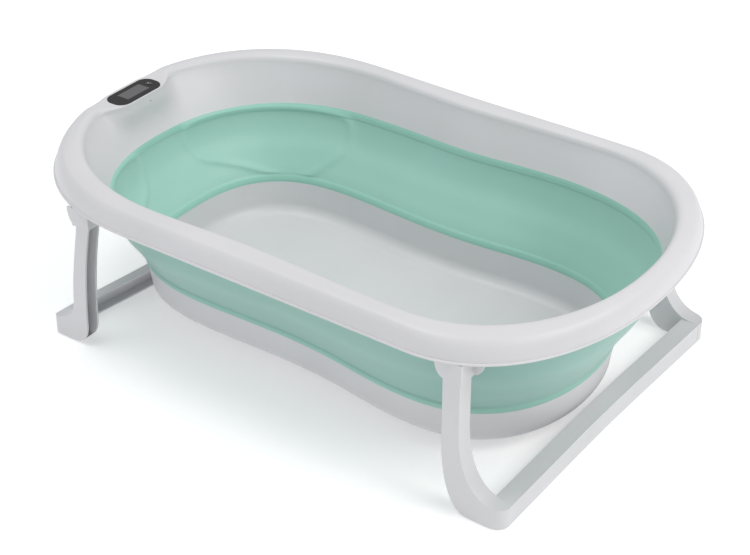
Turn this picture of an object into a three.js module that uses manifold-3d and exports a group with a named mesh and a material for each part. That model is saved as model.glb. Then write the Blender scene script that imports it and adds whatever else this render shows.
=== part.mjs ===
// Folding baby bathtub: a rigid rim with a bath thermometer, a collapsible soft band, a rigid pan
// with a drain plug, and two U-shaped legs that fold in under the tub.
// Millimetres. +X points to the foot end, +Y across the tub, +Z up. The origin is on the floor,
// below the middle of the rim.
import * as THREE from "three";
import { mergeVertices } from "three/addons/utils/BufferGeometryUtils.js";
import Module from "manifold-3d";

const wasm = await Module();
wasm.setup();

// ---- Driving dimensions ------------------------------------------------------------------

const RIM_TOP = 233;
const RIM_HALF_LENGTH = 410;
const RIM_HALF_WIDTH = 256.5;
const SKIRT_DEPTH = 29;
const WALL = 2.6;
const GAP = 0.3;
const BAND_TOP_Z = 177.3;
const BAND_TOP_TILT = 0.016;
const PAN_EDGE_Z = 70;
const PAN_EDGE_TILT = -0.016;
const PAN_BOTTOM_Z = 21.5;
const PAN_TILT = -0.02;
const PAN_CORNER = 19;
const PAN_DRAFT = 4;
const DRAIN_X = 256;
const DRAIN_RADIUS = 15;
const PIN_RADIUS = 3;
const PIN_Z = 191;
const LEG_WALL = 2.8;
const CROSSBAR_TOP = 27;
const LEG_SOLE_Z = 1.2;
const PAD_TOP = 3.1;
const CURVE_STEPS = 10;
const HALF_STEPS = 30;
const FINE_STEPS = 60;

// Plan outlines: half length and half width, the depth and power of each superelliptic end, the
// share of the width taken off at the waist, how far the waist reaches, and the centre's X.
const RIM_OUTER = {
  length: RIM_HALF_LENGTH,
  width: RIM_HALF_WIDTH,
  head: 243.6,
  headPower: 2.26,
  foot: 175.9,
  footPower: 2.15,
  waist: 0,
  waistReach: 100,
  centre: 0,
};
const RIM_INNER = {
  length: 382,
  width: 220.5,
  head: 247.6,
  headPower: 2.25,
  foot: 179.6,
  footPower: 2.1,
  waist: 0.03,
  waistReach: 106,
  centre: 1,
};
const BAND_UPPER = {
  length: 358.4,
  width: 203.2,
  head: 204,
  headPower: 2.26,
  foot: 249.5,
  footPower: 2.52,
  waist: 0.034,
  waistReach: 80,
  centre: 14.3,
};
const PAN_INNER = {
  length: 308.8,
  width: 353.3,
  head: 376.8,
  headPower: 2.55,
  foot: 240.8,
  footPower: 2.02,
  waist: 0.562,
  waistReach: 438,
  centre: 15.7,
};

// ---- Solids ------------------------------------------------------------------------------

function toSolid(geometry) {
  const bare = geometry.index ? geometry.toNonIndexed() : geometry.clone();
  bare.deleteAttribute("normal");
  bare.deleteAttribute("uv");
  const merged = mergeVertices(bare, 1e-4);
  const solid = new wasm.Manifold(
    new wasm.Mesh({
      numProp: 3,
      vertProperties: merged.attributes.position.array,
      triVerts: new Uint32Array(merged.index.array),
    }),
  );
  return solid;
}

function toGeometry(solid) {
  const mesh = solid.getMesh();
  const geometry = new THREE.BufferGeometry();
  const points = new Float32Array(mesh.vertProperties);
  geometry.setAttribute("position", new THREE.BufferAttribute(points, 3));
  geometry.setIndex(new THREE.BufferAttribute(new Uint32Array(mesh.triVerts), 1));
  geometry.computeVertexNormals();
  return geometry;
}

function join(first, ...others) {
  let solid = toSolid(first);
  for (const other of others) solid = solid.add(toSolid(other));
  return toGeometry(solid);
}

function cut(body, ...tools) {
  let solid = toSolid(body);
  for (const tool of tools) solid = solid.subtract(toSolid(tool));
  return toGeometry(solid);
}

// A shape drawn in X and Y, extruded from z0 up to z1.
function prismZ(shape, z0, z1, steps = CURVE_STEPS) {
  const options = { depth: z1 - z0, bevelEnabled: false, curveSegments: steps };
  return new THREE.ExtrudeGeometry(shape, options).translate(0, 0, z0);
}

// A shape drawn in X and Z, extruded from y0 across to y1.
function prismY(shape, y0, y1, steps = CURVE_STEPS) {
  const options = { depth: y1 - y0, bevelEnabled: false, curveSegments: steps };
  return new THREE.ExtrudeGeometry(shape, options).rotateX(Math.PI / 2).translate(0, y1, 0);
}

function box(x0, x1, y0, y1, z0, z1) {
  return new THREE.BoxGeometry(x1 - x0, y1 - y0, z1 - z0).translate(
    (x0 + x1) / 2,
    (y0 + y1) / 2,
    (z0 + z1) / 2,
  );
}

function diskZ(x, y, radius, z0, z1, sides = 24) {
  const disk = new THREE.CylinderGeometry(radius, radius, z1 - z0, sides);
  return disk.rotateX(Math.PI / 2).translate(x, y, (z0 + z1) / 2);
}

function rodY(x, z, radius, y0, y1, sides = 20) {
  const rod = new THREE.CylinderGeometry(radius, radius, y1 - y0, sides);
  return rod.translate(x, (y0 + y1) / 2, z);
}

// A rectangle with round corners, as a shape.
function plate(cx, cy, sx, sy, radius) {
  const shape = new THREE.Shape();
  const [x0, x1] = [cx - sx / 2, cx + sx / 2];
  const [y0, y1] = [cy - sy / 2, cy + sy / 2];
  shape.absarc(x1 - radius, y0 + radius, radius, -Math.PI / 2, 0, false);
  shape.absarc(x1 - radius, y1 - radius, radius, 0, Math.PI / 2, false);
  shape.absarc(x0 + radius, y1 - radius, radius, Math.PI / 2, Math.PI, false);
  shape.absarc(x0 + radius, y0 + radius, radius, Math.PI, Math.PI * 1.5, false);
  return shape;
}

// ---- Rings of points around the tub --------------------------------------------------------

// One level's outline as points in plan, evenly spaced along it, counter-clockwise seen from
// above, from the foot's tip.
function outline(level) {
  const footX = level.length - level.foot;
  const headX = level.head - level.length;
  const fine = [];
  for (let i = 0; i <= FINE_STEPS; i++) {
    const angle = (i / FINE_STEPS) * (Math.PI / 2);
    const x = footX + level.foot * Math.cos(angle) ** (2 / level.footPower);
    fine.push([x, level.width * Math.sin(angle) ** (2 / level.footPower)]);
  }
  for (let i = 1; i < FINE_STEPS && footX > headX; i++) {
    fine.push([footX + ((headX - footX) * i) / FINE_STEPS, level.width]);
  }
  for (let i = FINE_STEPS; i >= 0; i--) {
    const angle = (i / FINE_STEPS) * (Math.PI / 2);
    const x = headX - level.head * Math.cos(angle) ** (2 / level.headPower);
    fine.push([x, level.width * Math.sin(angle) ** (2 / level.headPower)]);
  }
  const side = fine.map(([x, y]) => {
    const narrowed = 1 - level.waist * Math.exp(-((x / level.waistReach) ** 2));
    return new THREE.Vector2(x + level.centre, y * narrowed);
  });
  const half = evenly(side, HALF_STEPS);
  const other = half.slice(1, -1).reverse().map((p) => new THREE.Vector2(p.x, -p.y));
  return [...half, ...other];
}

// The same line with its points at equal steps along it.
function evenly(line, steps) {
  const walked = [0];
  for (let i = 1; i < line.length; i++) {
    walked.push(walked[i - 1] + line[i].distanceTo(line[i - 1]));
  }
  const total = walked[line.length - 1];
  return Array.from({ length: steps + 1 }, (_, step) => {
    const target = (step / steps) * total;
    const after = Math.max(1, walked.findIndex((w) => w >= target - 1e-6));
    const share = (target - walked[after - 1]) / (walked[after] - walked[after - 1]);
    return line[after - 1].clone().lerp(line[after], Math.min(1, share));
  });
}

// The same outline moved out by a distance all round, or in where it is negative.
function grow(points, distance) {
  const count = points.length;
  return points.map((p, i) => {
    const along = points[(i + 1) % count].clone().sub(points[(i + count - 1) % count]);
    along.setLength(distance);
    return new THREE.Vector2(p.x + along.y, p.y - along.x);
  });
}

function between(inner, outer, share) {
  return inner.map((point, i) => point.clone().lerp(outer[i], share));
}

function raise(points, height) {
  return points.map((p) => {
    const z = typeof height === "function" ? height(p.x) : height;
    return new THREE.Vector3(p.x, p.y, z);
  });
}

// The closed skin through a list of rings. A hoop runs from the last ring back to the first, and
// a dish has its first and last rings filled to their middles.
function loft(rings, hoop) {
  const count = rings[0].length;
  const points = rings.flat();
  const faces = [];
  const bands = hoop ? rings.length : rings.length - 1;
  for (let r = 0; r < bands; r++) {
    const a = r * count;
    const b = ((r + 1) % rings.length) * count;
    for (let i = 0; i < count; i++) {
      const j = (i + 1) % count;
      const pair = [a + i, b + i, b + j, a + i, b + j, a + j];
      faces.push(...(hoop ? pair : pair.reverse()));
    }
  }
  if (!hoop) {
    for (const [ring, flip] of [[0, true], [rings.length - 1, false]]) {
      const middle = new THREE.Vector3();
      rings[ring].forEach((p) => middle.addScaledVector(p, 1 / count));
      points.push(middle);
      for (let i = 0; i < count; i++) {
        const edge = [ring * count + i, ring * count + ((i + 1) % count)];
        faces.push(...(flip ? edge.reverse() : edge), points.length - 1);
      }
    }
  }
  const geometry = new THREE.BufferGeometry().setFromPoints(points);
  geometry.setIndex(faces);
  return geometry;
}

// ---- Materials ---------------------------------------------------------------------------

function finish(color, roughness, metalness = 0) {
  return new THREE.MeshStandardMaterial({ color, roughness, metalness });
}

const white = finish(0xe9e9ec, 0.42);
const mint = finish(0x8ebfb0, 0.5);
const steel = finish(0xb9bcc0, 0.3, 1);
const rubber = finish(0x9fa3a6, 0.85);
const charcoal = finish(0x3d3b3e, 0.35);
const display = finish(0x69676a, 0.2);
const smoked = finish(0x4c4b50, 0.08);
const board = finish(0x2e6b45, 0.55);

const tub = new THREE.Group();

function add(name, geometry, material) {
  const mesh = new THREE.Mesh(geometry, material);
  mesh.name = name;
  tub.add(mesh);
}

// ---- Rim: crowned top, outer skirt and rigid upper wall, moulded in one piece -----------------

const bandTop = (x) => BAND_TOP_Z + BAND_TOP_TILT * x;
const outerEdge = outline(RIM_OUTER);
const innerEdge = outline(RIM_INNER);
const wallFoot = outline(BAND_UPPER);
const innerEdgeBack = grow(innerEdge, WALL);
const wallFootBack = grow(wallFoot, WALL);

// Share of the way out from inner to outer edge, and depth below the crown.
const CROWN = [
  [0.03, 5],
  [0.12, 1.2],
  [0.34, 0],
  [0.6, 1.6],
  [0.8, 6],
  [0.93, 13.5],
  [0.985, 22],
];
const CROWN_BACK = [
  [0.9, 21],
  [0.84, 14],
  [0.7, 8],
  [0.36, 3.2],
];

const halfWall = raise(between(wallFoot, innerEdge, 0.55), RIM_TOP - 32);
const halfWallBack = raise(between(wallFootBack, innerEdgeBack, 0.55), RIM_TOP - 32);
const rimHoop = loft(
  [
    raise(wallFoot, bandTop),
    halfWall,
    raise(innerEdge, RIM_TOP - 11),
    ...CROWN.map(([share, drop]) => raise(between(innerEdge, outerEdge, share), RIM_TOP - drop)),
    raise(outerEdge, RIM_TOP - SKIRT_DEPTH),
    raise(grow(outerEdge, -WALL), RIM_TOP - SKIRT_DEPTH),
    ...CROWN_BACK.map(([share, drop]) =>
      raise(between(innerEdge, outerEdge, share), RIM_TOP - drop),
    ),
    raise(innerEdgeBack, RIM_TOP - 11),
    halfWallBack,
    raise(wallFootBack, bandTop),
  ],
  true,
);

// The room under the rim that a bracket may fill ends here, a gap below its underside and skirt.
const UNDER_GAP = 0.5;
const rimRoom = loft(
  [
    raise(between(innerEdge, outerEdge, 0.3), RIM_TOP + 20),
    raise(grow(outerEdge, 20), RIM_TOP + 20),
    raise(grow(outerEdge, 20), RIM_TOP - SKIRT_DEPTH - UNDER_GAP),
    raise(grow(outerEdge, -WALL - UNDER_GAP), RIM_TOP - SKIRT_DEPTH - UNDER_GAP),
    ...CROWN_BACK.map(([share, drop]) =>
      raise(between(innerEdge, outerEdge, share - 0.015), RIM_TOP - drop - UNDER_GAP),
    ),
  ],
  true,
);

// The thermometer's place: a shelf that swells out of the head wall, with a pocket in its top.
const METER = { x: -375, y: -5, long: 83, wide: 35.5, corner: 15, face: RIM_TOP - 3.6 };
const METER_FLANGE = 3;
const METER_DEPTH = 15;
const meterSeat = METER.face - METER_FLANGE;

function meterPlate(margin) {
  const { x, y, wide, long, corner } = METER;
  return plate(x, y, wide - 2 * margin, long - 2 * margin, corner - margin);
}

function meterRing(z, wide, long, x) {
  const points = plate(x, METER.y, wide, long, wide * 0.42).extractPoints(5).shape;
  return points.slice(0, -1).map((p) => new THREE.Vector3(p.x, p.y, z));
}

const shelf = loft(
  [
    meterRing(meterSeat - 44, 13, 48, METER.x - 6),
    meterRing(meterSeat - 22, 33, 80, METER.x - 1),
    meterRing(METER.face - 0.8, METER.wide + 4, METER.long + 4, METER.x),
  ],
  false,
);
// The temperature sensor's tip sits in the shelf's wall, under the thermometer.
const PROBE = { x: METER.x + 17.3, y: 4, z: meterSeat - 7, radius: 1.6, long: 3 };
const recess = prismZ(meterPlate(-GAP), meterSeat - GAP, RIM_TOP + 5);
const pocket = prismZ(meterPlate(2.5 - GAP), meterSeat - METER_DEPTH - GAP, RIM_TOP);

// ---- Leg stations: the brackets, pins and screws of the two folding legs ----------------------

// For each leg: the side it folds from (+1 foot, -1 head), the X of its pin and of its toe's end,
// the arm's outer and inner faces as distances from the middle of the tub, and the plan radius
// of its outer corners.
const LEGS = [
  { name: "foot", side: 1, pinX: 285.8, toeX: 357, armOut: 240, armIn: 218, corner: 16 },
  { name: "head", side: -1, pinX: -251.5, toeX: -319, armOut: 239, armIn: 218, corner: 6 },
];
const SIDES = [
  ["near", -1],
  ["far", 1],
];
const CHEEK = 2.6;
const CHEEK_GAP = 0.5;
const BRACKET_TOP = RIM_TOP - 11.2;
const BRACKET_LOW = RIM_TOP - 54;
const EAR_HALF = 21;
const BRACKET_AHEAD = 11.9;
const STOP_WALL = 2.6;
const PIN_COVER = 0.9; // skin left over the pin's outer end
const SCREW_SPACING = 19;
const SCREW_RADIUS = 1.7;
const BOSS_ROOT = 5.6;

function span(sign, near, far) {
  return sign > 0 ? [near, far] : [-far, -near];
}

// One cheek of a bracket in side view: square at the rim, and rounded below where it's an ear.
function cheekShape(x0, x1, squareEnd) {
  const shape = new THREE.Shape();
  shape.moveTo(x0, BRACKET_TOP);
  shape.lineTo(x0, BRACKET_TOP - 24);
  shape.quadraticCurveTo(x0 + 2, BRACKET_LOW + 3, x0 + 12, BRACKET_LOW);
  if (squareEnd) {
    shape.lineTo(x1, BRACKET_LOW);
  } else {
    shape.lineTo(x1 - 12, BRACKET_LOW);
    shape.quadraticCurveTo(x1 - 2, BRACKET_LOW + 3, x1, BRACKET_TOP - 24);
  }
  shape.lineTo(x1, BRACKET_TOP);
  shape.closePath();
  return shape;
}

function bracket({ side, pinX, armOut, armIn }, sign) {
  const shut = pinX + side * BRACKET_AHEAD;
  const back = shut + side * STOP_WALL;
  const outer = armOut + CHEEK_GAP + CHEEK;
  const inner = armIn - CHEEK_GAP - CHEEK;
  const [x0, x1] = [pinX - EAR_HALF, pinX + EAR_HALF];
  const [w0, w1] = [Math.min(shut, back), Math.max(shut, back)];
  const outerCheek = cheekShape(x0, side > 0 ? back : pinX + 12, true);
  const innerCheek = cheekShape(x0, side > 0 ? x1 + 6 : x1, false);
  const body = join(
    box(x0, x1, ...span(sign, inner, outer), BRACKET_TOP - 3, BRACKET_TOP),
    box(w0, w1, ...span(sign, inner, outer), BRACKET_LOW, BRACKET_TOP - 1),
    prismY(outerCheek, ...span(sign, armOut + CHEEK_GAP, outer)),
    prismY(innerCheek, ...span(sign, inner, armIn - CHEEK_GAP)),
  );
  const y = (sign * (armOut + armIn)) / 2;
  const holes = screwXs(pinX, side).map((x) =>
    diskZ(x, y, SCREW_RADIUS + 0.35, BRACKET_TOP - 4, BRACKET_TOP + 1, 12),
  );
  const bore = rodY(pinX, PIN_Z, PIN_RADIUS + 0.15, ...span(sign, inner - 1, outer - PIN_COVER));
  return cut(body, rimRoom, ...holes, bore);
}

function screwXs(pinX, side) {
  const middle = pinX - side * 4;
  return [middle - SCREW_SPACING / 2, middle + SCREW_SPACING / 2];
}

function screw(x, y) {
  const head = diskZ(x, y, 3.4, BRACKET_TOP - 3 - GAP - 2.2, BRACKET_TOP - 3 - GAP, 12);
  const shank = diskZ(x, y, SCREW_RADIUS, BRACKET_TOP - 3 - GAP - 0.5, BRACKET_TOP + 5, 12);
  return join(head, shank);
}

const bosses = [];
const bossHoles = [];
for (const leg of LEGS) {
  for (const [, sign] of SIDES) {
    const y = (sign * (leg.armOut + leg.armIn)) / 2;
    for (const x of screwXs(leg.pinX, leg.side)) {
      bosses.push(diskZ(x, y, 4.2, BRACKET_TOP + GAP, RIM_TOP - BOSS_ROOT, 12));
      bossHoles.push(
        diskZ(x, y, SCREW_RADIUS + 0.3, BRACKET_TOP - 1, BRACKET_TOP + 5 + GAP, 12),
      );
    }
  }
}
const probeBore = new THREE.CylinderGeometry(PROBE.radius + GAP, PROBE.radius + GAP, 9, 12);
probeBore.rotateZ(Math.PI / 2).translate(PROBE.x, PROBE.y, PROBE.z);
add(
  "rim_frame",
  cut(join(rimHoop, shelf, ...bosses), recess, pocket, probeBore, ...bossHoles),
  white,
);

// ---- Soft band: the wall that folds when the pan is pushed up ---------------------------------

const panInner = outline(PAN_INNER);
const panOuter = grow(panInner, WALL);
const panEdge = (x) => PAN_EDGE_Z + PAN_EDGE_TILT * x;

// Height up the band (0 at the pan, 1 at the rim) and how far out the wall has come by then.
const BAND_STEPS = [
  [0.08, 0.05],
  [0.18, 0.16],
  [0.3, 0.33],
  [0.42, 0.5],
  [0.6, 0.77],
  [0.8, 0.93],
];

function bandRing(lower, upper, height, share) {
  const points = between(lower, upper, share);
  const low = (x) => panEdge(x) + GAP;
  return raise(points, (x) => low(x) + (bandTop(x) - GAP - low(x)) * height);
}

add(
  "soft_band",
  loft(
    [
      bandRing(panInner, wallFoot, 0, 0),
      ...BAND_STEPS.map(([h, s]) => bandRing(panInner, wallFoot, h, s)),
      bandRing(panInner, wallFoot, 1, 1),
      bandRing(panOuter, wallFootBack, 1, 1),
      ...[...BAND_STEPS].reverse().map(([h, s]) => bandRing(panOuter, wallFootBack, h, s)),
      bandRing(panOuter, wallFootBack, 0, 0),
    ],
    true,
  ),
  mint,
);

// ---- Pan: the rigid floor of the tub, tilted a little towards the drain ------------------------

const panBottom = (x) => PAN_BOTTOM_Z + PAN_TILT * x;

// Rings of a rounded lower corner, from the floor's edge up to the side wall.
function cornerRings(points, radius, floor) {
  return [0.95, 0.6, 0.28, 0].map((share) => {
    const rise = 1 - Math.sqrt(1 - (1 - share) ** 2);
    return raise(grow(points, -radius * share), (x) => floor(x) + radius * rise);
  });
}

const panSkin = loft(
  [
    ...cornerRings(grow(panOuter, -PAN_DRAFT), PAN_CORNER, panBottom),
    raise(panOuter, panEdge),
    raise(panInner, panEdge),
    ...cornerRings(
      grow(panInner, -PAN_DRAFT),
      PAN_CORNER - WALL,
      (x) => panBottom(x) + WALL,
    ).reverse(),
  ],
  false,
);
const drainFloor = panBottom(DRAIN_X);
add(
  "pan",
  cut(panSkin, diskZ(DRAIN_X, 0, DRAIN_RADIUS, drainFloor - 20, drainFloor + 20)),
  white,
);

const plugFloor = drainFloor + WALL - PAN_TILT * DRAIN_RADIUS * 1.5;
add(
  "drain_plug",
  join(
    diskZ(DRAIN_X, 0, DRAIN_RADIUS - 1, drainFloor - 1, plugFloor + 1),
    diskZ(DRAIN_X, 0, DRAIN_RADIUS + 4.5, plugFloor + 0.6, plugFloor + 3.2),
    prismY(plate(DRAIN_X, plugFloor + 6, 16, 8, 3), -1.6, 1.6, 4),
  ),
  mint,
);

// ---- Legs ----------------------------------------------------------------------------------

const EYE_RADIUS = 11.25;
const ARM_HALF = 11.2;
const POCKET_TOP = 177;

// Side view of a foot-end arm: round eye, straight arm, and a long sweep out to the toe.
function footArm() {
  const { pinX } = LEGS[0];
  const shape = new THREE.Shape();
  shape.absarc(pinX, PIN_Z, EYE_RADIUS, 0, Math.PI, false);
  shape.lineTo(pinX - ARM_HALF, 92);
  shape.bezierCurveTo(275, 50, 284, 6, 307, LEG_SOLE_Z);
  shape.lineTo(353, LEG_SOLE_Z);
  shape.quadraticCurveTo(357, LEG_SOLE_Z, 357, LEG_SOLE_Z + 4);
  shape.lineTo(357, CROSSBAR_TOP - 4);
  shape.quadraticCurveTo(357, CROSSBAR_TOP, 352, CROSSBAR_TOP);
  shape.bezierCurveTo(320, 26, 298, 52, pinX + ARM_HALF, 112);
  shape.closePath();
  return shape;
}

function footPocket() {
  const { pinX } = LEGS[0];
  const shape = new THREE.Shape();
  shape.moveTo(pinX - 30, POCKET_TOP);
  shape.lineTo(pinX - 30, 8);
  shape.lineTo(300, 8);
  shape.quadraticCurveTo(306, 4, 316, 4);
  shape.lineTo(353, 4);
  shape.lineTo(353, CROSSBAR_TOP - LEG_WALL);
  shape.bezierCurveTo(318, 23, 296, 50, pinX + ARM_HALF - LEG_WALL, 112);
  shape.lineTo(pinX + ARM_HALF - LEG_WALL, POCKET_TOP);
  shape.closePath();
  return shape;
}

// Side view of a head-end arm: it leans out, curves a little and ends in a short toe.
function headArm() {
  const { pinX } = LEGS[1];
  const shape = new THREE.Shape();
  shape.absarc(pinX, PIN_Z, EYE_RADIUS, 0, Math.PI, false);
  shape.lineTo(pinX - EYE_RADIUS, BRACKET_LOW - 1);
  shape.bezierCurveTo(-269, 142, -278, 104, -280, 66);
  shape.bezierCurveTo(-281, 44, -290, 30, -316, CROSSBAR_TOP);
  shape.quadraticCurveTo(-319, CROSSBAR_TOP, -319, CROSSBAR_TOP - 4);
  shape.lineTo(-319, LEG_SOLE_Z + 5);
  shape.quadraticCurveTo(-319, LEG_SOLE_Z, -312, LEG_SOLE_Z);
  shape.lineTo(-285, LEG_SOLE_Z);
  shape.quadraticCurveTo(-263, LEG_SOLE_Z + 2, -261, 28);
  shape.bezierCurveTo(-259.5, 80, -255, 130, pinX + EYE_RADIUS, PIN_Z);
  return shape;
}

function headPocket() {
  const shape = new THREE.Shape();
  shape.moveTo(-220, POCKET_TOP);
  shape.lineTo(-259.9, POCKET_TOP);
  shape.lineTo(-262, 160);
  shape.bezierCurveTo(-272, 125, -276, 96, -277, 66);
  shape.bezierCurveTo(-278, 42, -288, 27, -316, CROSSBAR_TOP - LEG_WALL);
  shape.lineTo(-316, 4);
  shape.lineTo(-290, 4);
  shape.quadraticCurveTo(-270, 5, -266, 8);
  shape.lineTo(-220, 8);
  shape.closePath();
  return shape;
}

// A crossbar in plan: two edges that bow towards the tub between the arms.
function barShape(outerX, innerX, outerBow, innerBow, reach) {
  const steps = 8;
  const edge = (x, bow) =>
    Array.from({ length: steps + 1 }, (_, i) => {
      const y = reach * ((2 * i) / steps - 1);
      return new THREE.Vector2(x + bow * (1 - (y / reach) ** 2) ** 2, y);
    });
  return new THREE.Shape([...edge(innerX, innerBow), ...edge(outerX, outerBow).reverse()]);
}

// What to take off a leg's outer corner in plan, to round it. The inset keeps a hollow's wall even.
function cornerWaste({ toeX, armOut, corner, side }, sign, inset) {
  const x = toeX - side * corner;
  const y = sign * (armOut - corner);
  const [x0, x1] = [Math.min(x, toeX + side), Math.max(x, toeX + side)];
  const block = box(x0, x1, ...span(sign, Math.abs(y), armOut + 1), -1, CROSSBAR_TOP + 1);
  return cut(block, diskZ(x, y, corner - inset, -2, CROSSBAR_TOP + 2, 48));
}

function legFrame(leg, arm, pocketShape, bar, barPocket, padX) {
  const arms = SIDES.map(([, sign]) => prismY(arm, ...span(sign, leg.armIn, leg.armOut)));
  const hollows = SIDES.map(([, sign]) =>
    cut(
      prismY(pocketShape, ...span(sign, leg.armIn + LEG_WALL, leg.armOut - LEG_WALL)),
      cornerWaste(leg, sign, LEG_WALL),
    ),
  );
  const bores = SIDES.map(([, sign]) =>
    rodY(leg.pinX, PIN_Z, PIN_RADIUS + 0.5, ...span(sign, leg.armIn - 1, leg.armOut + 1)),
  );
  const padSeats = SIDES.map(([, sign]) =>
    prismZ(padShape(padX, sign, leg, GAP), LEG_SOLE_Z - 1, PAD_TOP + GAP, 3),
  );
  const tray = prismZ(bar, LEG_SOLE_Z, CROSSBAR_TOP);
  const trough = prismZ(barPocket, LEG_SOLE_Z + 2.5, CROSSBAR_TOP - LEG_WALL);
  const shell = cut(tray, trough);
  const solidArms = arms.map((a, i) => cut(a, hollows[i], bores[i]));
  const corners = SIDES.map(([, sign]) => cornerWaste(leg, sign, 0));
  return cut(join(shell, ...solidArms), ...padSeats, ...corners);
}

const PAD_LONG = 26;
const PAD_WIDE = 15;

function padShape(x, sign, leg, margin) {
  const y = (sign * (leg.armOut + leg.armIn)) / 2;
  return plate(x, y, PAD_LONG + 2 * margin, PAD_WIDE + 2 * margin, 4);
}

const FOOT_PAD_X = 330;
const HEAD_PAD_X = -299;
const footBar = barShape(357, 333, -4, -4, LEGS[0].armOut);
const footTrough = barShape(354.2, 325, -4, -4, LEGS[0].armIn);
const headBar = barShape(-319, -306, 20, 22, LEGS[1].armOut);
const headTrough = barShape(-316.2, -298, 20, 22, LEGS[1].armIn);
add(
  "foot_leg",
  legFrame(LEGS[0], footArm(), footPocket(), footBar, footTrough, FOOT_PAD_X),
  white,
);
add(
  "head_leg",
  legFrame(LEGS[1], headArm(), headPocket(), headBar, headTrough, HEAD_PAD_X),
  white,
);

for (const leg of LEGS) {
  for (const [where, sign] of SIDES) {
    const station = `${leg.name}_${where}`;
    const y = (sign * (leg.armOut + leg.armIn)) / 2;
    add(`leg_bracket_${station}`, bracket(leg, sign), white);
    const pinEnd = leg.armOut + CHEEK_GAP + CHEEK - PIN_COVER - GAP;
    const pinSpan = span(sign, leg.armIn - CHEEK - 0.4, pinEnd);
    add(`hinge_pin_${station}`, rodY(leg.pinX, PIN_Z, PIN_RADIUS, ...pinSpan), steel);
    screwXs(leg.pinX, leg.side).forEach((x, i) => {
      add(`bracket_screw_${station}_${i + 1}`, screw(x, y), steel);
    });
    const padX = leg.side > 0 ? FOOT_PAD_X : HEAD_PAD_X;
    add(`foot_pad_${station}`, prismZ(padShape(padX, sign, leg, 0), 0, PAD_TOP, 3), rubber);
  }
}

// ---- Bath thermometer ------------------------------------------------------------------------

const WINDOW = { x: METER.x - 0.7, y: METER.y, wide: 17.4, long: 40 };
const BUTTON = { x: METER.x - 0.5, y: METER.y + 30.5, radius: 4.2 };
const bodyLow = meterSeat - METER_DEPTH;
const skinTop = METER.face;
const windowPlate = (margin) =>
  plate(WINDOW.x, WINDOW.y, WINDOW.wide + 2 * margin, WINDOW.long + 2 * margin, 2);

add(
  "thermometer_case",
  cut(
    join(
      prismZ(meterPlate(0), meterSeat, skinTop),
      prismZ(meterPlate(2.5), bodyLow + 2, meterSeat + 1),
    ),
    prismZ(meterPlate(4.3), bodyLow, skinTop - 1.6),
    prismZ(windowPlate(0), bodyLow, skinTop + 1, 3),
    prismZ(windowPlate(1), skinTop - 1.2, skinTop + 1, 3),
    diskZ(BUTTON.x, BUTTON.y, BUTTON.radius, bodyLow, skinTop + 1, 16),
  ),
  charcoal,
);
add(
  "thermometer_window",
  prismZ(windowPlate(1 - GAP), skinTop - 1.2 + GAP, skinTop, 3),
  smoked,
);
add(
  "power_button",
  join(
    diskZ(BUTTON.x, BUTTON.y, BUTTON.radius - 0.4, skinTop - 2.6, skinTop + 0.4, 16),
    diskZ(BUTTON.x, BUTTON.y, BUTTON.radius + 1, skinTop - 3.4, skinTop - 2, 16),
  ),
  charcoal,
);
const lcdTop = skinTop - 1.9;
add(
  "lcd_panel",
  prismZ(plate(WINDOW.x, WINDOW.y, WINDOW.wide + 4, WINDOW.long + 4, 1), lcdTop - 1.6, lcdTop, 2),
  display,
);
const boardTop = lcdTop - 1.6 - 1.4;
add(
  "circuit_board",
  prismZ(plate(METER.x, METER.y, 24, 68, 6), boardTop - 1.2, boardTop, 3),
  board,
);
const SWITCH_HALF = 3;
add(
  "push_switch",
  box(
    BUTTON.x - SWITCH_HALF,
    BUTTON.x + SWITCH_HALF,
    BUTTON.y - SWITCH_HALF,
    BUTTON.y + SWITCH_HALF,
    boardTop + GAP,
    boardTop + 0.8,
  ),
  charcoal,
);
add("coin_cell", diskZ(METER.x, METER.y - 12, 10, boardTop - 5.2, boardTop - 1.5), steel);
const coverTop = bodyLow + 1.6;
add(
  "thermometer_back",
  cut(
    prismZ(meterPlate(2.5), bodyLow, coverTop),
    diskZ(METER.x, METER.y - 12, 10.6, bodyLow - 1, coverTop + 1),
  ),
  charcoal,
);
add(
  "battery_cap",
  diskZ(METER.x, METER.y - 12, 10.2, bodyLow, coverTop, 20),
  charcoal,
);
const probe = new THREE.CylinderGeometry(PROBE.radius, PROBE.radius, PROBE.long, 12);
probe.rotateZ(Math.PI / 2).translate(PROBE.x, PROBE.y, PROBE.z);
add("temperature_probe", probe, steel);

export default tub;
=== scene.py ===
import math

import bmesh
import bpy
import numpy as np
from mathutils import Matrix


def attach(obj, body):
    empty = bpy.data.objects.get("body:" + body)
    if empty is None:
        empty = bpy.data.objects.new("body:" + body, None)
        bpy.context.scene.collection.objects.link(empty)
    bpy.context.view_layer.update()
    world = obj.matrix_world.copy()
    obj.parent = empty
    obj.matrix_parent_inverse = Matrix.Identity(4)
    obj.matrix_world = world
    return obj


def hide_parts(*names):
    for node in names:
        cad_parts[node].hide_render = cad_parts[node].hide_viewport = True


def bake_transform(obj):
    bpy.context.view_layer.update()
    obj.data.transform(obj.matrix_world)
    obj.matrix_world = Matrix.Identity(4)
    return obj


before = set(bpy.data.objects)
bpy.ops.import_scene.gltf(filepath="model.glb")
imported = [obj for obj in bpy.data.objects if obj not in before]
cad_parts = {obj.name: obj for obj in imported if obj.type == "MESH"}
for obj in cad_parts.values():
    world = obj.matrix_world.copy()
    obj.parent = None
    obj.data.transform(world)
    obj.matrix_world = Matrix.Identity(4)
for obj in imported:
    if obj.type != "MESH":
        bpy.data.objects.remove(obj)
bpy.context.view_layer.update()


# ---------------------------------------------------------------------------------------------
# Rim. One injection moulding in white polypropylene: a crowned top, a skirt with a thin lip, and
# the rigid upper wall that the soft band hangs from. A land and a shelf at the head end carry the
# bath thermometer.
# ---------------------------------------------------------------------------------------------

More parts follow.
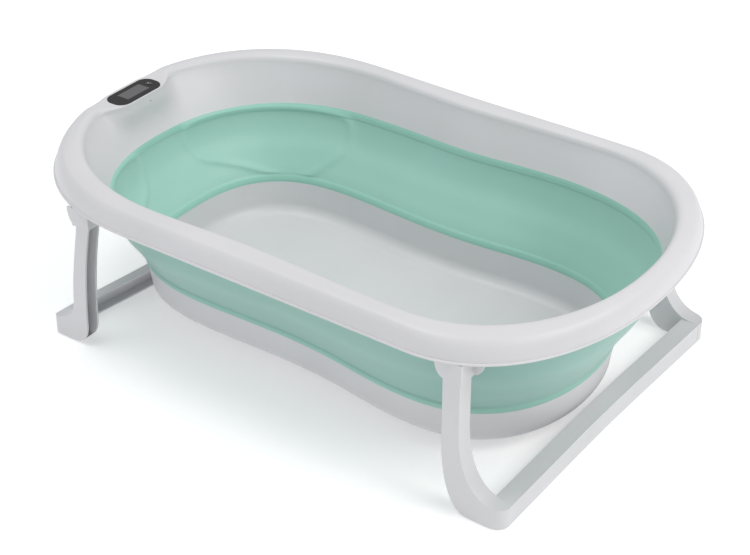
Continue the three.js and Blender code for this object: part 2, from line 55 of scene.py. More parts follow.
AROUND = 400  # steps along half of a ring
RIM_TOP = 233.0
WALL = 2.6
METER_X, METER_Y, METER_WIDE, METER_LONG, METER_CORNER = -375.0, -5.0, 35.5, 83.0, 15.0
METER_LAND = 229.0


def outline(length, width, head, head_power, foot, foot_power, waist, reach, centre):
    """A closed plan ring in millimetres, evenly spaced, from the foot's tip over the far side.

    Each end is a superellipse, x = end * cos(t)^(2/power), y = width * sin(t)^(2/power), with a
    straight between them where there is room, and y is then narrowed by waist * exp(-(x/reach)^2).
    """
    foot_x, head_x = length - foot, head - length
    t = np.linspace(0, math.pi / 2, 500)
    x = [foot_x + foot * np.cos(t) ** (2 / foot_power)]
    y = [width * np.sin(t) ** (2 / foot_power)]
    if foot_x > head_x:
        x.append(np.linspace(foot_x, head_x, 300)[1:-1])
        y.append(np.full(298, width))
    x.append(head_x - head * np.cos(t[::-1]) ** (2 / head_power))
    y.append(width * np.sin(t[::-1]) ** (2 / head_power))
    x, y = np.concatenate(x), np.concatenate(y)
    y = y * (1 - waist * np.exp(-((x / reach) ** 2)))
    walked = np.concatenate([[0], np.cumsum(np.hypot(np.diff(x), np.diff(y)))])
    at = np.linspace(0, walked[-1], AROUND + 1)
    half = np.stack([np.interp(at, walked, x + centre), np.interp(at, walked, y)], 1)
    return np.concatenate([half, half[-2:0:-1] * [1, -1]])


def grow(ring, distance):
    """The ring moved out along its plan normals by a distance, the same all round."""
    along = np.roll(ring, -1, 0) - np.roll(ring, 1, 0)
    along /= np.linalg.norm(along, axis=1, keepdims=True)
    return ring + distance * np.stack([along[:, 1], -along[:, 0]], 1)


def flowing(controls, steps):
    """Points on a smooth line through the controls: a Catmull-Rom curve, steps to each span."""
    p = np.array(controls, float)
    p = np.concatenate([[2 * p[0] - p[1]], p, [2 * p[-1] - p[-2]]])
    t = np.linspace(0, 1, steps, endpoint=False)[None, :, None]
    a, b, c, d = (p[i : len(p) - 3 + i][:, None] for i in range(4))
    line = 0.5 * (2 * b + (c - a) * t + (2 * a - 5 * b + 4 * c - d) * t**2)
    line = line + 0.5 * (3 * b - a - 3 * c + d) * t**3
    return np.concatenate([line.reshape(-1, p.shape[1]), p[-2:-1]])


def skin(name, rings, hoop=True):
    """A mesh of quads over rings[r, i] in millimetres, turned so that its faces point outwards.

    A hoop also joins its last ring to its first. Otherwise the first and last rings are closed
    with fans to their middles.
    """
    rows, count = rings.shape[:2]
    r, i = np.meshgrid(np.arange(rows if hoop else rows - 1), np.arange(count), indexing="ij")
    r2, i2 = (r + 1) % rows, (i + 1) % count
    quads = np.stack([r * count + i, r2 * count + i, r2 * count + i2, r * count + i2], -1)
    quads = quads.reshape(-1, 4)
    points = rings.reshape(-1, 3)
    a, b, c, d = (points[quads[:, k]] for k in range(4))
    volume = np.einsum("ij,ij->i", a, np.cross(b, c)) + np.einsum("ij,ij->i", a, np.cross(c, d))
    total = volume.sum()
    tris = np.zeros((0, 3), int)
    if not hoop:
        ends = []
        for row, turn in ((0, 1), (rows - 1, -1)):
            middle = len(points)
            points = np.concatenate([points, rings[row].mean(0)[None]])
            ring = row * count + np.arange(count)
            fan = np.stack([ring, np.roll(ring, -1), np.full(count, middle)], 1)
            ends.append(fan[:, ::turn])
        tris = np.concatenate(ends)
        a, b, c = (points[tris[:, k]] for k in range(3))
        total += np.einsum("ij,ij->i", a, np.cross(b, c)).sum()
    if total < 0:
        quads, tris = quads[:, ::-1], tris[:, ::-1]
    mesh = bpy.data.meshes.new(name)
    mesh.from_pydata((points * 0.001).tolist(), [], quads.tolist() + tris.tolist())
    mesh.shade_smooth()
    mesh.set_sharp_from_angle(angle=math.radians(50))
    piece = bpy.data.objects.new(name, mesh)
    bpy.context.scene.collection.objects.link(piece)
    return piece


def soft_step(x, low, high):
    """0 below low, 1 above high, and a smooth 3t^2 - 2t^3 between."""
    t = np.clip((x - low) / (high - low), 0, 1)
    return t * t * (3 - 2 * t)


def meter_distance(x, y):
    """How far a point in plan is outside the thermometer's rounded rectangle.

    Past its two ends the distance counts less than half, so that the land eases out gently.
    """
    qx = np.abs(x - METER_X) - (METER_WIDE / 2 - METER_CORNER)
    qy = np.abs(y - METER_Y) - (METER_LONG / 2 - METER_CORNER)
    past = np.maximum(qy - METER_CORNER, 0)
    qy = qy - 0.6 * past
    outside = np.hypot(np.maximum(qx, 0), np.maximum(qy, 0))
    return outside + np.minimum(np.maximum(qx, qy), 0) - METER_CORNER


def effect(name, inputs, outputs):
    """An empty shader node group with named float inputs and outputs, and its two end nodes."""
    group = bpy.data.node_groups.new(name, "ShaderNodeTree")
    for label, value in inputs:
        socket = group.interface.new_socket(
            name=label, in_out="INPUT", socket_type="NodeSocketFloat"
        )
        socket.default_value = value
    for label in outputs:
        group.interface.new_socket(name=label, in_out="OUTPUT", socket_type="NodeSocketFloat")
    return group, group.nodes.new("NodeGroupInput"), group.nodes.new("NodeGroupOutput")


def texture(tree, kind, coords, scale=None, **settings):
    """A procedural texture node reading Object coordinates, its scale a number or a socket."""
    node = tree.nodes.new(kind)
    tree.links.new(coords, node.inputs["Vector"])
    for label, value in settings.items():
        node.inputs[label.replace("_", " ")].default_value = value
    if isinstance(scale, (int, float)):
        node.inputs["Scale"].default_value = scale
    elif scale is not None:
        tree.links.new(scale, node.inputs["Scale"])
    return node


def ramp(tree, value, low, high, to_low=0.0, to_high=1.0):
    """The value from low to high mapped onto to_low to to_high, held at both ends."""
    node = tree.nodes.new("ShaderNodeMapRange")
    node.inputs["From Min"].default_value = low
    node.inputs["From Max"].default_value = high
    node.inputs["To Min"].default_value = to_low
    node.inputs["To Max"].default_value = to_high
    tree.links.new(value, node.inputs["Value"])
    return node.outputs["Result"]


# Moulded surface: a fine grain, slow clouding from the melt's flow, and sparse hairline scuffs.
moulded, ins, outs = effect(
    "moulded_surface",
    [("Grain Scale", 900.0), ("Cloud Scale", 9.0), ("Scuff Scale", 60.0)],
    ["Grain", "Cloud", "Scuff"],
)
place = moulded.nodes.new("ShaderNodeTexCoord").outputs["Object"]
grain = texture(moulded, "ShaderNodeTexNoise", place, ins.outputs["Grain Scale"], Detail=3.0)
cloud = texture(moulded, "ShaderNodeTexNoise", place, ins.outputs["Cloud Scale"], Detail=4.0)
stretch = moulded.nodes.new("ShaderNodeMapping")
stretch.inputs["Scale"].default_value = (1.0, 7.0, 3.0)
stretch.inputs["Rotation"].default_value = (0.0, 0.0, 0.5)
moulded.links.new(place, stretch.inputs["Vector"])
scuff = texture(
    moulded, "ShaderNodeTexNoise", stretch.outputs["Vector"], ins.outputs["Scuff Scale"], Detail=5.0
)
moulded.links.new(grain.outputs["Fac"], outs.inputs["Grain"])
moulded.links.new(cloud.outputs["Fac"], outs.inputs["Cloud"])
moulded.links.new(ramp(moulded, scuff.outputs["Fac"], 0.66, 0.72), outs.inputs["Scuff"])


def moulded_finish(name, colour, tinted, rough, rough_spread=0.1, grain_depth=0.00002, **settings):
    """A material in a moulded plastic: two close colours clouded together, with grain and scuffs.

    The settings are put straight on the shader's own sockets.
    """
    material = bpy.data.materials.new(name)
    material.use_nodes = True
    tree = material.node_tree
    shader = tree.nodes["Principled BSDF"]
    surface = tree.nodes.new("ShaderNodeGroup")
    surface.node_tree = moulded
    mix = tree.nodes.new("ShaderNodeMix")
    mix.data_type = "RGBA"
    mix.inputs["A"].default_value = (*colour, 1)
    mix.inputs["B"].default_value = (*tinted, 1)
    tree.links.new(ramp(tree, surface.outputs["Cloud"], 0.35, 0.65), mix.inputs["Factor"])
    tree.links.new(mix.outputs["Result"], shader.inputs["Base Color"])
    spread = tree.nodes.new("ShaderNodeMath")
    spread.operation = "MULTIPLY_ADD"
    spread.inputs[1].default_value = rough_spread
    tree.links.new(surface.outputs["Cloud"], spread.inputs[0])
    worn = tree.nodes.new("ShaderNodeMath")
    worn.operation = "MULTIPLY_ADD"
    worn.inputs[1].default_value = 0.12
    worn.inputs[2].default_value = rough - rough_spread / 2
    tree.links.new(surface.outputs["Scuff"], worn.inputs[0])
    tree.links.new(worn.outputs["Value"], spread.inputs[2])
    tree.links.new(spread.outputs["Value"], shader.inputs["Roughness"])
    bump = tree.nodes.new("ShaderNodeBump")
    bump.inputs["Distance"].default_value = grain_depth
    bump.inputs["Strength"].default_value = 0.6
    tree.links.new(surface.outputs["Grain"], bump.inputs["Height"])
    tree.links.new(bump.outputs["Normal"], shader.inputs["Normal"])
    for label, value in settings.items():
        shader.inputs[label.replace("_", " ")].default_value = value
    return material


white_plastic = moulded_finish(
    "white_plastic", (0.65, 0.645, 0.665), (0.625, 0.622, 0.636), 0.4, Specular_IOR_Level=0.42
)


def dressed(piece, material, slot, body, *nodes):
    """Gives a finished piece its material and body, and lets it stand for CAD nodes. The slot is
    not used.
    """
    piece.data.materials.clear()
    piece.data.materials.append(material)
    if body:
        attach(piece, body)
    if nodes:
        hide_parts(*nodes)
    return piece


wall_foot = outline(358.4, 203.2, 204.0, 2.26, 249.5, 2.52, 0.034, 80.0, 14.3)
inner_edge = outline(382.0, 220.5, 247.6, 2.25, 179.6, 2.1, 0.03, 106.0, 1.0)
outer_edge = outline(410.0, 256.5, 243.6, 2.26, 175.9, 2.15, 0.0, 100.0, 0.0)


def band_top(x):
    """Height of the joint between the rim's wall and the soft band."""
    return 177.3 + 0.016 * x


# At the head end the inner edge swells in towards the tub, to go round the thermometer.
shelf_x = -355.6 - 26.0 * soft_step(np.abs(inner_edge[:, 1] - METER_Y), 24, 95)
push = np.logaddexp(0, (shelf_x - inner_edge[:, 0]) / 1.6) * 1.6
push = push * (inner_edge[:, 0] < -300) * (1 - soft_step(np.abs(inner_edge[:, 1]), 80, 110))
swollen_edge = inner_edge + np.stack([push, np.zeros_like(push)], 1)

# The rim's section: share of the way out from inner to outer edge (below 0 down the wall to the
# band), drop below the crown, and distance grown outwards on the wall's back.
RIM_SECTION = [
    (-1.0, 55.7, 0.0),
    (-0.72, 41.5, 0.0),
    (-0.45, 29.0, 0.0),
    (-0.2, 18.0, 0.0),
    (-0.06, 11.2, 0.0),
    (0.0, 7.2, 0.0),
    (0.05, 3.8, 0.0),
    (0.14, 1.2, 0.0),
    (0.28, 0.15, 0.0),
    (0.46, 1.0, 0.0),
    (0.6, 2.5, 0.0),
    (0.69, 4.3, 0.0),
    (0.79, 8.4, 0.0),
    (0.87, 14.0, 0.0),
    (0.92, 19.5, 0.0),
    (0.95, 24.6, 0.0),
    (0.957, 26.2, 0.0),
    (0.985, 26.7, 0.0),
    (1.0, 27.3, 0.0),
    (1.0, 28.5, 0.0),
    (0.985, 29.0, 0.0),
    (0.935, 28.9, 0.0),
    (0.915, 27.0, 0.0),
    (0.88, 20.5, 0.0),
    (0.82, 14.5, 0.0),
    (0.73, 8.8, 0.0),
    (0.6, 5.6, 0.0),
    (0.4, 3.6, 0.0),
    (0.2, 4.2, 0.0),
    (0.1, 7.0, 0.0),
    (0.0, 11.4, 2.6),
    (-0.2, 18.5, 2.6),
    (-0.45, 29.2, 2.6),
    (-0.72, 41.5, 2.6),
    (-1.0, 55.7, 2.6),
]
TOPSIDE = 20  # the first spans of the section, up to the lip, are the side that shows from above


def rim_rings():
    """The rim's rings: the section's shares carried round between its three plan outlines.

    Height is the crown less the drop, on the wall stretched so that its foot meets the band, and
    near the thermometer it eases onto a flat land.
    """
    section = flowing(RIM_SECTION, 4)
    back = np.arange(len(section)) > 4 * TOPSIDE
    share, drop, out = section.T
    wall = np.clip(-share, 0, 1)[:, None, None]
    crown = np.clip(share, 0, 1)[:, None, None]
    fade = 1 - soft_step(wall, 0.12, 1.0)
    edge = inner_edge + (swollen_edge - inner_edge) * fade
    plan = edge + (wall_foot - edge) * wall + (outer_edge - edge) * crown
    back_edge = grow(inner_edge, WALL) + (swollen_edge - inner_edge) * fade
    grown = back_edge + (grow(wall_foot, WALL) - back_edge) * wall + (outer_edge - edge) * crown
    plan = plan + (grown - plan) * (out / WALL)[:, None, None]
    height = RIM_TOP - drop[:, None] + np.zeros(plan.shape[:2])
    stretch = (RIM_TOP - 11 - band_top(plan[..., 0])) / 44.7
    stretched = RIM_TOP - 11 - (drop[:, None] - 11) * stretch
    height = np.where((share[:, None] < 0) & (drop[:, None] > 11), stretched, height)
    near = 1 - soft_step(meter_distance(plan[..., 0], plan[..., 1]), 1.0, 17.0)
    near = near * ((share > -0.03) & (share < 0.9))[:, None]
    near = near * (1 - soft_step(drop, 7.0, 16.0))[:, None]
    land = METER_LAND - np.where(back, WALL, 0.0)[:, None]
    height = height + (land - height) * near
    return np.concatenate([plan, height[..., None]], 2)


rim = skin("rim", rim_rings())
dressed(rim, white_plastic, "white_plastic", "rim", "rim_frame")


# ---------------------------------------------------------------------------------------------
# Soft band. The wall between rim and pan, moulded onto both in mint elastomer. It folds when the
# pan is pushed up. Creases run round it near both edges, and a shallow raised outline marks a
# rest on each side of the head end.
# ---------------------------------------------------------------------------------------------

pan_plan = outline(308.8, 353.3, 376.8, 2.55, 240.8, 2.02, 0.562, 438.0, 15.7)
BAND_RISE = [
    (0.0, 0.0),
    (0.08, 0.05),
    (0.18, 0.16),
    (0.3, 0.33),
    (0.42, 0.5),
    (0.6, 0.77),
    (0.8, 0.93),
    (1.0, 1.0),
]


def pan_edge(x):
    """Height of the joint between the pan and the soft band."""
    return 70.0 - 0.016 * x


def rest_outline(along, up):
    """How far inside a shield drawn on the band's side wall a point is, in millimetres.

    along is measured round the ring from the head's tip and up from the pan's edge. The shield
    is the smooth lowest of five half planes: two slanting sides, two upright ends and the top.
    """
    planes = np.stack(
        [
            (along - 56.0) * 0.33 + (up - 48.0) * 0.944,
            (207.0 - along) * 0.52 + (up - 15.5) * 0.854,
            90.0 - up,
            along - 44.0,
            276.0 - along,
        ]
    )
    return -10.0 * np.log(np.exp(-planes / 10.0).sum(0)) + 4.0


def band_rings():
    """The band's rings, up its inside and down its outside.

    Plan: from the pan's outline to the rim's wall by a share that rises slowly at both ends. Each
    point then moves along its plan normal by small steps for the creases and the rest outline.
    The second result is 1 in the thicker strips along both edges and 0 between them.
    """
    low_part, high_part = np.linspace(0, 0.16, 16), np.linspace(0.84, 1, 16)
    v = np.concatenate([low_part, np.linspace(0.17, 0.83, 60), high_part])
    smooth = flowing(BAND_RISE, 12)
    share = np.interp(v, smooth[:, 0], smooth[:, 1])[:, None, None]
    half = np.abs(np.arange(2 * AROUND) - AROUND)
    sides, marks = [], []
    for outside in (False, True):
        lower = grow(pan_plan, WALL if outside else 0.0)
        upper = grow(wall_foot, WALL if outside else 0.0)
        plan = lower + (upper - lower) * share
        low, high = pan_edge(plan[..., 0]), band_top(plan[..., 0])
        height = low + (high - low) * v[:, None]
        up, down = height - low, high - height
        panel = soft_step(up, 8.0, 11.0) * soft_step(down, 8.5, 11.0)
        bead = (1 - panel) * soft_step(up, 0, 3.5) * soft_step(down, 0, 3.5)
        if outside:
            relief = 1.3 * bead - 0.5 * panel
        else:
            step = np.linalg.norm(np.diff(plan, axis=1), axis=2).mean()
            inside = rest_outline(half * step + 0 * up, up)
            pad = -0.8 * soft_step(inside, -5.0, 5.0) - 2.0 * np.exp(-((inside / 4.6) ** 2))
            relief = 0.3 * panel - 0.8 * bead + pad * soft_step(up, 8.5, 14.0)
        marks.append(1 - panel)
        moved = np.stack([grow(ring, 1.0) - ring for ring in plan])
        plan = plan + moved * relief[..., None]
        rings = np.concatenate([plan, height[..., None]], 2)
        sides.append(rings[::-1] if outside else rings)
    return np.concatenate(sides), np.concatenate([marks[0], marks[1][::-1]])


mint_elastomer = moulded_finish(
    "mint_elastomer",
    (0.335, 0.595, 0.51),
    (0.355, 0.615, 0.535),
    0.46,
    Specular_IOR_Level=0.35,
    Sheen_Weight=0.15,
    Sheen_Roughness=0.5,
)
band_points, band_strips = band_rings()
band = skin("soft_band_skin", band_points)


def tone(piece, material, name, values, colour, most):
    """Mixes a colour into a material's base by a per-point value stored on the piece."""
    piece.data.attributes.new(name, "FLOAT", "POINT").data.foreach_set("value", values.ravel())
    tree = material.node_tree
    value = tree.nodes.new("ShaderNodeAttribute")
    value.attribute_name = name
    mix = tree.nodes.new("ShaderNodeMix")
    mix.data_type = "RGBA"
    mix.inputs["B"].default_value = (*colour, 1)
    base = tree.nodes["Principled BSDF"].inputs["Base Color"]
    tree.links.new(base.links[0].from_socket, mix.inputs["A"])
    tree.links.new(ramp(tree, value.outputs["Fac"], 0, 1, 0, most), mix.inputs["Factor"])
    tree.links.new(mix.outputs["Result"], base)


# Painted shade: the band's outer side is given a darker, greyer mint than its inner side, standing
# in for the lesser light that reaches the outside.
outer_side_painted_shade = np.zeros_like(band_strips)
outer_side_painted_shade[len(band_strips) // 2 :] = 1
tone(band, mint_elastomer, "outer_side_painted_shade", outer_side_painted_shade, (0.22, 0.375, 0.345), 0.6)
# Painted light and shade: the strips along both edges are mixed lighter and more saturated than the
# concave panel between them, standing in for how light falls on the relief.
tone(band, mint_elastomer, "painted_light_strip", band_strips, (0.27, 0.6, 0.475), 0.35)
dressed(band, mint_elastomer, "mint_elastomer", None, "soft_band")
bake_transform(band)


# ---------------------------------------------------------------------------------------------
# Pan. The rigid floor of the tub in white polypropylene, with a rounded lower corner and a drain
# hole in a shallow dish at the foot end. The band is moulded onto its upper edge.
# ---------------------------------------------------------------------------------------------

DRAIN_X, DRAIN_RADIUS = 256.0, 15.0
PAN_CORNER, PAN_DRAFT = 19.0, 4.0


def pan_bottom(x):
    """Height of the pan's underside."""
    return 21.5 - 0.02 * x


def pan_rings():
    """The pan's rings: from the drain hole over the inner floor, up the wall and back under it.

    The floor runs from the outline, drawn in by the corner, to the hole's circle. The corner is
    a quarter circle, and the wall leans out by the draft.
    """
    rings = []
    for inner in (True, False):
        radius = PAN_CORNER - WALL if inner else PAN_CORNER
        top = pan_plan if inner else grow(pan_plan, WALL)
        foot = grow(top, -PAN_DRAFT)
        floor = WALL if inner else 0.0
        corner = grow(foot, -radius)
        away = corner - [DRAIN_X, 0]
        circle = away / np.linalg.norm(away, axis=1, keepdims=True) * DRAIN_RADIUS + [DRAIN_X, 0]
        side = []
        for k in (0.0, 0.004, 0.04, 0.05, 0.08, 0.25, 0.5, 0.75, 0.9, 0.97):
            ring = circle + (corner - circle) * k
            dish = 1.6 * (1 - soft_step(np.linalg.norm(ring - [DRAIN_X, 0], axis=1), 21, 27))
            side.append(np.c_[ring, pan_bottom(ring[:, 0]) + floor - dish * inner])
        for angle in np.linspace(0, math.pi / 2, 10):
            ring = grow(foot, -radius * (1 - math.sin(angle)))
            lift = radius * (1 - math.cos(angle))
            side.append(np.c_[ring, pan_bottom(ring[:, 0]) + floor + lift])
        for k in np.linspace(0, 1, 8)[1:]:
            ring = foot + (top - foot) * k
            start = pan_bottom(ring[:, 0]) + floor + radius
            side.append(np.c_[ring, start + (pan_edge(ring[:, 0]) - start) * k])
        rings.extend(side if inner else side[::-1])
    return np.stack(rings)


pan = skin("pan_shell", pan_rings())
dressed(pan, white_plastic, "white_plastic", "pan", "pan")


# ---------------------------------------------------------------------------------------------
# Drain plug. A soft stopper in mint elastomer with a domed flange and a pull tab, pushed into the
# pan's drain hole from above.
# ---------------------------------------------------------------------------------------------


def turned(name, centre, profile, steps=96, axis=2):
    """A solid of revolution: radius and height pairs carried round an axis through the centre."""
    turn = np.linspace(0, 2 * math.pi, steps, endpoint=False)
    r, h = np.array(profile, float).T
    a, b = r[:, None] * np.cos(turn), r[:, None] * np.sin(turn)
    c = np.broadcast_to(h[:, None], a.shape)
    rings = np.stack([a, b, c] if axis == 2 else [c, a, b], -1) + np.array(centre, float)
    return skin(name, rings, hoop=False)


plug_floor = pan_bottom(DRAIN_X) + WALL
PLUG_PROFILE = [
    (13.0, -3.6),
    (13.8, -3.2),
    (14.0, -2.0),
    (14.0, -0.6),
    (14.6, 0.0),
    (19.2, 0.0),
    (19.5, 0.5),
    (19.3, 1.3),
    (18.2, 2.0),
    (14.0, 2.6),
    (8.0, 3.0),
    (3.0, 3.1),
]
plug = turned("drain_stopper", (DRAIN_X, 0, plug_floor - 1.2), flowing(PLUG_PROFILE, 4))


def pull_tab(name):
    """A flat tab standing on the plug: a superellipse in side view with a rounded thickness."""
    t = np.linspace(0, 2 * math.pi, 96, endpoint=False)
    x = 8.0 * np.sign(np.cos(t)) * np.abs(np.cos(t)) ** 0.6
    z = 4.6 * np.sign(np.sin(t)) * np.abs(np.sin(t)) ** 0.6
    rings = []
    for y, k in ((-1.6, 0.86), (-1.3, 0.95), (-0.7, 1.0), (0.7, 1.0), (1.3, 0.95), (1.6, 0.86)):
        rings.append(np.stack([DRAIN_X + x * k, np.full(96, y), plug_floor + 5.2 + z * k], 1))
    return skin(name, np.stack(rings), hoop=False)


tab = pull_tab("drain_stopper_tab")
dressed(plug, mint_elastomer, "mint_elastomer", "drain_plug", "drain_plug")
dressed(tab, mint_elastomer, "mint_elastomer", "drain_plug")


# ---------------------------------------------------------------------------------------------
# Legs. Two U-shaped frames in white polypropylene, each an arm on both sides joined by a crossbar
# near the floor. They're open channels, with walls 2.8 mm thick and softly rounded edges.
# ---------------------------------------------------------------------------------------------


def rounded_copy(node, name, radius, segments=3, sharp=28.0, flat=0.6):
    """A copy of a CAD node with its doubles merged, flat faces joined and sharp edges rounded."""
    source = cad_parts[node].data
    work = bmesh.new()
    points = np.zeros(len(source.vertices) * 3)
    source.vertices.foreach_get("co", points)
    points = points.reshape(-1, 3)
    made = [work.verts.new(p) for p in points.tolist()]
    corners = np.zeros(len(source.loops), int)
    source.loops.foreach_get("vertex_index", corners)
    for face in corners.reshape(-1, 3).tolist():
        if len(set(face)) == 3:
            work.faces.new([made[k] for k in face])
    bmesh.ops.remove_doubles(work, verts=work.verts, dist=0.00002)
    bmesh.ops.dissolve_limit(
        work, angle_limit=math.radians(flat), verts=work.verts, edges=work.edges
    )
    mesh = bpy.data.meshes.new(name)
    work.to_mesh(mesh)
    work.free()
    mesh.shade_smooth()
    piece = bpy.data.objects.new(name, mesh)
    bpy.context.scene.collection.objects.link(piece)
    if radius:
        edge = piece.modifiers.new("rounded_edges", "BEVEL")
        edge.width = radius * 0.001
        edge.segments = segments
        edge.limit_method = "ANGLE"
        edge.angle_limit = math.radians(sharp)
        edge.use_clamp_overlap = True
        edge.harden_normals = True
    else:
        mesh.set_sharp_from_angle(angle=math.radians(sharp))
    return piece


for end in ("foot", "head"):
    leg = rounded_copy(f"{end}_leg", f"{end}_leg_frame", 1.0)
    dressed(leg, white_plastic, "white_plastic", f"{end}_leg", f"{end}_leg")


# ---------------------------------------------------------------------------------------------
# Leg brackets. White polypropylene forks that hang under the rim, each held by two steel screws
# driven up into its bosses. A steel pin through both cheeks carries the leg's eye.
# ---------------------------------------------------------------------------------------------

steel = moulded_finish(
    "steel", (0.55, 0.56, 0.57), (0.48, 0.49, 0.5), 0.32, 0.16, 0.000004, Metallic=1.0
)
stations = [f"{end}_{side}" for end in ("foot", "head") for side in ("near", "far")]
for station in stations:
    fork = rounded_copy(f"leg_bracket_{station}", f"fork_{station}", 0.8)
    dressed(fork, white_plastic, "white_plastic", "rim", f"leg_bracket_{station}")
    pin = rounded_copy(f"hinge_pin_{station}", f"pin_{station}", 0.4, 2)
    dressed(pin, steel, "steel", "rim", f"hinge_pin_{station}")
    for n in (1, 2):
        screw = rounded_copy(f"bracket_screw_{station}_{n}", f"screw_{station}_{n}", 0.25, 2)
        dressed(screw, steel, "steel", "rim", f"bracket_screw_{station}_{n}")


# ---------------------------------------------------------------------------------------------
# Foot pads. Grey rubber blocks pressed into seats under the toes of both legs, so that the tub
# doesn't slide.
# ---------------------------------------------------------------------------------------------

grip_rubber = moulded_finish(
    "grip_rubber",
    (0.33, 0.34, 0.35),
    (0.28, 0.29, 0.3),
    0.82,
    0.12,
    0.00008,
    Specular_IOR_Level=0.3,
)
for station in stations:
    pad = rounded_copy(f"foot_pad_{station}", f"grip_{station}", 0.7)
    dressed(pad, grip_rubber, "grip_rubber", f"{station[:4]}_leg", f"foot_pad_{station}")


# ---------------------------------------------------------------------------------------------
# Bath thermometer. A charcoal case dropped into the rim's land, with a smoked window over a
# liquid crystal panel, a power button, and its board, cell and cover below. Its sensor's tip
# comes out through the wall under it.
# ---------------------------------------------------------------------------------------------

charcoal_plastic = moulded_finish(
    "charcoal_plastic",
    (0.013, 0.012, 0.013),
    (0.017, 0.0155, 0.0165),
    0.42,
    0.1,
    0.00001,
    Specular_IOR_Level=0.3,
)
case = rounded_copy("thermometer_case", "meter_case", 0.6)
dressed(case, charcoal_plastic, "charcoal_plastic", "rim", "thermometer_case")
button = rounded_copy("power_button", "meter_button", 0.25)
dressed(button, charcoal_plastic, "charcoal_plastic", "power_button", "power_button")

smoked_window = moulded_finish(
    "smoked_window",
    (0.075, 0.072, 0.075),
    (0.085, 0.082, 0.085),
    0.2,
    0.06,
    0.000002,
    Coat_Weight=0.25,
)
window = rounded_copy("thermometer_window", "meter_window", 0.15, 2)
dressed(window, smoked_window, "smoked_window", "rim", "thermometer_window")

display = moulded_finish("display", (0.14, 0.15, 0.13), (0.16, 0.17, 0.15), 0.25, 0.05)
circuit = moulded_finish("circuit", (0.02, 0.11, 0.05), (0.03, 0.14, 0.07), 0.45, 0.1)
INSIDES = [
    ("lcd_panel", display, "display"),
    ("circuit_board", circuit, "circuit"),
    ("push_switch", charcoal_plastic, "charcoal_plastic"),
    ("coin_cell", steel, "steel"),
    ("thermometer_back", charcoal_plastic, "charcoal_plastic"),
    ("battery_cap", charcoal_plastic, "charcoal_plastic"),
]
for node, material, slot in INSIDES:
    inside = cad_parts[node]
    inside.data.materials.clear()
    inside.data.materials.append(material)

PROBE_PROFILE = [(0.6, 1.2), (1.2, 0.9), (1.6, 0.2), (1.6, -3.0), (1.2, -3.2)]
probe = turned("sensor_tip", (-354.9, 4.0, 219.4), PROBE_PROFILE, 32, axis=0)
dressed(probe, steel, "steel", "rim", "temperature_probe")


def power_mark(name):
    """A ring broken at its top, 5.0 mm across and 0.6 mm wide, standing 0.15 mm off the button."""
    turn = np.linspace(math.radians(125), math.radians(415), 60)
    section = np.array([(-0.3, 0.0), (-0.3, 0.15), (0.3, 0.15), (0.3, 0.0)])
    radius = 2.3 + section[:, 0]
    x = METER_X - 0.5 + radius[None] * np.cos(turn)[:, None]
    y = METER_Y + 30.5 + radius[None] * np.sin(turn)[:, None]
    z = 229.8 + np.broadcast_to(section[:, 1], x.shape)
    return skin(name, np.stack([x, y, z], -1), hoop=False)


mark_paint = moulded_finish("mark_paint", (0.42, 0.42, 0.43), (0.4, 0.4, 0.41), 0.5, 0.05)
mark = power_mark("power_mark")
dressed(mark, mark_paint, "white_plastic", "power_button")


# ---------------------------------------------------------------------------------------------
# Studio. A plain pale floor, a bright even surround, and three large soft lights: high past the
# foot end, overhead, and a weak cool one from the near left. None of it belongs to the tub.
# ---------------------------------------------------------------------------------------------

floor_mesh = bpy.data.meshes.new("floor")
reach = 12.0
floor_mesh.from_pydata(
    [(-reach, -reach, 0), (reach, -reach, 0), (reach, reach, 0), (-reach, reach, 0)],
    [],
    [(0, 1, 2, 3)],
)
floor = bpy.data.objects.new("floor", floor_mesh)
bpy.context.scene.collection.objects.link(floor)
floor_paint = bpy.data.materials.new("floor_paint")
floor_paint.use_nodes = True
floor_shader = floor_paint.node_tree.nodes["Principled BSDF"]
floor_shader.inputs["Base Color"].default_value = (0.9, 0.9, 0.9, 1)
floor_shader.inputs["Emission Color"].default_value = (1, 1, 1, 1)
floor_shader.inputs["Emission Strength"].default_value = 0.28
floor_shader.inputs["Roughness"].default_value = 0.9
floor_shader.inputs["Specular IOR Level"].default_value = 0.1
floor.data.materials.append(floor_paint)

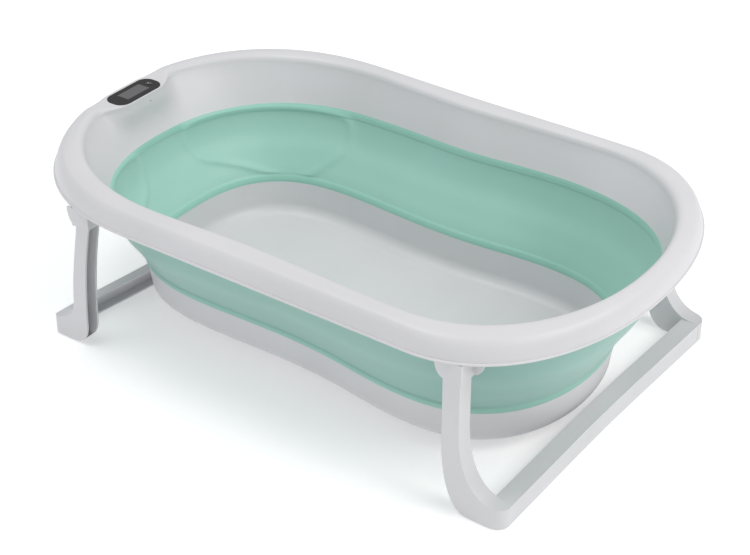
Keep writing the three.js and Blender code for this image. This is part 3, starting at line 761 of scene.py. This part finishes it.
world = bpy.data.worlds.new("surround")
world.use_nodes = True
sky = world.node_tree.nodes["Background"]
sky.inputs["Color"].default_value = (0.97, 0.985, 1.0, 1)
sky.inputs["Strength"].default_value = 0.62
seen = world.node_tree.nodes.new("ShaderNodeBackground")
seen.inputs["Color"].default_value = (1, 1, 1, 1)
seen.inputs["Strength"].default_value = 1.0
ray = world.node_tree.nodes.new("ShaderNodeLightPath")
either = world.node_tree.nodes.new("ShaderNodeMixShader")
world.node_tree.links.new(ray.outputs["Is Camera Ray"], either.inputs["Fac"])
world.node_tree.links.new(sky.outputs["Background"], either.inputs[1])
world.node_tree.links.new(seen.outputs["Background"], either.inputs[2])
world_end = world.node_tree.nodes["World Output"]
world.node_tree.links.new(either.outputs["Shader"], world_end.inputs["Surface"])
bpy.context.scene.world = world
bpy.context.scene.view_settings.view_transform = "Standard"


def soft_light(name, place, aim, size, power, colour):
    """A square area light at a place, turned to its aim."""
    lamp = bpy.data.lights.new(name, "AREA")
    lamp.size = size
    lamp.energy = power
    lamp.color = colour
    light = bpy.data.objects.new(name, lamp)
    light.location = place
    way = np.array(aim, float) - np.array(place, float)
    way /= np.linalg.norm(way)
    light.rotation_euler = (math.acos(-way[2]), 0, math.atan2(way[1], way[0]) - math.pi / 2)
    bpy.context.scene.collection.objects.link(light)
    return light


soft_light("foot_light", (1.9, 0.4, 2.0), (0, 0, 0.1), 1.5, 28.0, (1.0, 0.985, 0.96))
soft_light("high_head_light", (-0.7, -0.5, 2.7), (0.1, 0, 0.1), 1.2, 20.0, (1.0, 1.0, 0.98))
soft_light("near_left_light", (-1.6, -2.2, 1.2), (0, 0, 0.1), 1.6, 2.5, (0.88, 0.88, 1.0))

camera = bpy.data.objects.new("camera", bpy.data.cameras.new("camera"))
camera.data.sensor_width = 36.0
camera.data.lens = 90.647
azimuth, elevation = math.radians(35.842), math.radians(32.582)
camera.location = (1.18073, -1.61836, 1.35815)
camera.rotation_euler = (math.pi / 2 - elevation, 0, azimuth)
bpy.context.scene.collection.objects.link(camera)
bpy.context.scene.camera = camera

bpy.context.view_layer.update()
